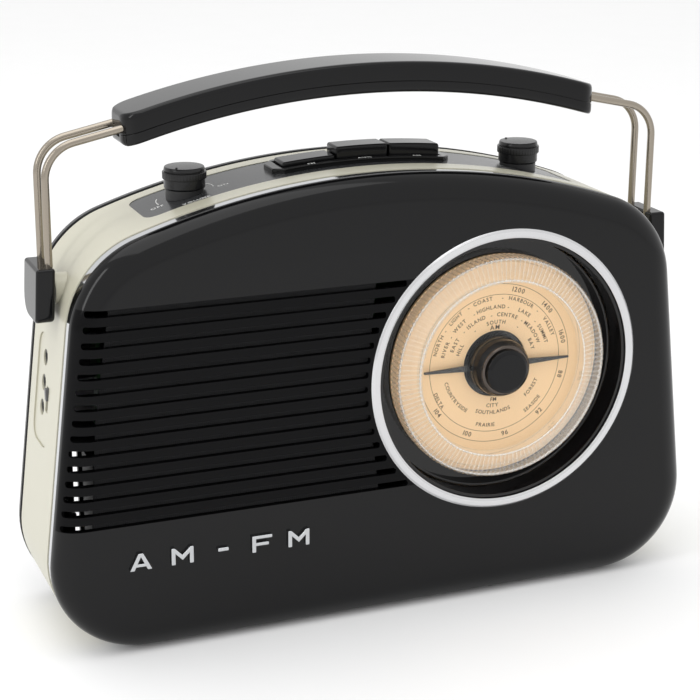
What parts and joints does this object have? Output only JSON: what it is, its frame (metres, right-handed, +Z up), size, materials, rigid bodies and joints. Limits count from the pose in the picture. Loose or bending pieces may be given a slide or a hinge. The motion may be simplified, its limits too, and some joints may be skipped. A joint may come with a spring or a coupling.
{
  "type": "tabletop radio",
  "caption": "Retro tabletop radio with round tuning dial, slotted speaker grille, top knobs and keys, and folding carry handle.",
  "frame": {"origin": "centre of the bounding box in X and Y, on the plane the feet stand on", "axes": "+X to the right seen from the front, +Y from the dial face towards the rear cover, +Z up"},
  "size_m": [0.2748, 0.0764, 0.2219],
  "materials": {
    "black_gloss": "high gloss moulding",
    "chrome_trim": "polished chrome strip",
    "chrome_bezel": "satin chrome",
    "nickel_rod": "warm polished nickel",
    "cream": "semi-gloss cream moulding",
    "black_case": "fine textured moulding",
    "knob_black": "satin moulding",
    "plate_grey": "mirror-gloss plate",
    "clear_acrylic": "clear polished acrylic",
    "scale_print": "printed tan card",
    "pointer_black": "gloss black",
    "steel": "plated steel",
    "antenna_chrome": "polished chrome",
    "aluminium": "bare sheet",
    "cloth": "black speaker cloth",
    "cone_paper": "pressed paper",
    "magnet": "ferrite",
    "board_green": "solder mask",
    "parts_dark": "moulded components",
    "copper": "enamelled copper winding",
    "transformer_steel": "laminated core",
    "switch_plastic": "ivory moulding",
    "slide_grey": "grey moulding",
    "rubber": "rubber pad"
  },
  "bodies": {
    "case": {"front_shell": "black_gloss", "front_trim": "chrome_trim", "case_band": "cream", "rear_trim": "chrome_trim", "rear_cover": "black_case", "battery_tray": "black_case", "battery_contacts": "steel", "control_plate": "plate_grey", "button_frame": "black_gloss", "band_switch": "switch_plastic", "knob_collars": "black_case", "volume_pot": "steel", "tone_pot": "steel", "dial_bezel": "chrome_bezel", "dial_well": "black_gloss", "dial_scale": "scale_print", "tuning_capacitor": "aluminium", "grille_cloth": "cloth", "speaker_basket": "steel", "speaker_cone": "cone_paper", "speaker_magnet": "magnet", "main_board": "board_green", "board_parts": "parts_dark", "ferrite_rod": "magnet", "antenna_coil": "copper", "rod_clips": "switch_plastic", "transformer": "transformer_steel", "mains_inlet": "black_case", "port_panel": "cream", "port_board": "board_green", "port_sockets": "steel", "slide_switch": "steel", "hinge_pins": "steel", "antenna_bracket": "steel", "badge_letters": "chrome_trim", "case_screws": "steel", "feet": "rubber"},
    "handle": {"grip_upper": "black_gloss", "grip_lower": "black_gloss", "handle_rods": "nickel_rod", "hinge_blocks": "black_gloss"},
    "volume": {"volume_knob": "knob_black", "volume_shaft": "steel"},
    "tone": {"tone_knob": "knob_black", "tone_shaft": "steel"},
    "tuning": {"tuning_ring": "clear_acrylic", "dial_pointer": "pointer_black", "tuning_hub": "knob_black", "hub_ring": "chrome_bezel", "hub_cap": "black_gloss", "tuning_shaft": "steel", "tuning_rotor": "aluminium"},
    "fm_key": {"fm_button": "black_gloss"},
    "aux_key": {"aux_button": "black_gloss"},
    "am_key": {"am_button": "black_gloss"},
    "selector": {"slide_knob": "slide_grey"},
    "door": {"battery_door": "black_case"},
    "antenna_base": {"antenna_knuckle": "antenna_chrome"},
    "antenna_arm": {"antenna_tube": "antenna_chrome"},
    "antenna_mid": {"antenna_section_2": "antenna_chrome"},
    "antenna_tip": {"antenna_section_3": "antenna_chrome"}
  },
  "joints": [
    {"name": "handle_fold", "type": "hinge", "parent": "case", "child": "handle", "pos_m": [0, -0.0023, 0.1418], "axis": [-1, 0, 0], "range_deg": [0, 90]},
    {"name": "volume_turn", "type": "hinge", "parent": "case", "child": "volume", "pos_m": [-0.0717, 0.0039, 0.1758], "axis": [0, 0, -1], "range_deg": [0, 280]},
    {"name": "tone_turn", "type": "hinge", "parent": "case", "child": "tone", "pos_m": [0.0717, 0.0039, 0.1758], "axis": [0, 0, 1], "range_deg": [-168, 112]},
    {"name": "tuning_turn", "type": "hinge", "parent": "case", "child": "tuning", "pos_m": [0.0496, -0.0298, 0.0984], "axis": [0, 1, 0], "range_deg": [0, 180]},
    {"name": "fm_press", "type": "slide", "parent": "case", "child": "fm_key", "axis": [0, 0, 1], "range_m": [0, 0.003]},
    {"name": "aux_press", "type": "slide", "parent": "case", "child": "aux_key", "axis": [0, 0, -1], "range_m": [0, 0.003], "stiffness_N_per_m": 250},
    {"name": "am_press", "type": "slide", "parent": "case", "child": "am_key", "axis": [0, 0, -1], "range_m": [0, 0.003], "stiffness_N_per_m": 250},
    {"name": "selector_slide", "type": "slide", "parent": "case", "child": "selector", "axis": [0, 0, -1], "range_m": [0, 0.004]},
    {"name": "door_swing", "type": "hinge", "parent": "case", "child": "door", "pos_m": [-0.056, 0.037, 0.0133], "axis": [-1, 0, 0], "range_deg": [0, 95]},
    {"name": "antenna_swing", "type": "hinge", "parent": "case", "child": "antenna_base", "pos_m": [0.104, 0.0332, 0.1528], "axis": [0, 1, 0], "range_deg": [0, 120]},
    {"name": "antenna_tilt", "type": "hinge", "parent": "antenna_base", "child": "antenna_arm", "pos_m": [0.104, 0.0353, 0.1528], "axis": [0, 0, -1], "range_deg": [0, 90]},
    {"name": "antenna_pull_1", "type": "slide", "parent": "antenna_arm", "child": "antenna_mid", "axis": [-1, 0, 0], "range_m": [0, 0.108]},
    {"name": "antenna_pull_2", "type": "slide", "parent": "antenna_mid", "child": "antenna_tip", "axis": [-1, 0, 0], "range_m": [0, 0.1]}
  ]
}
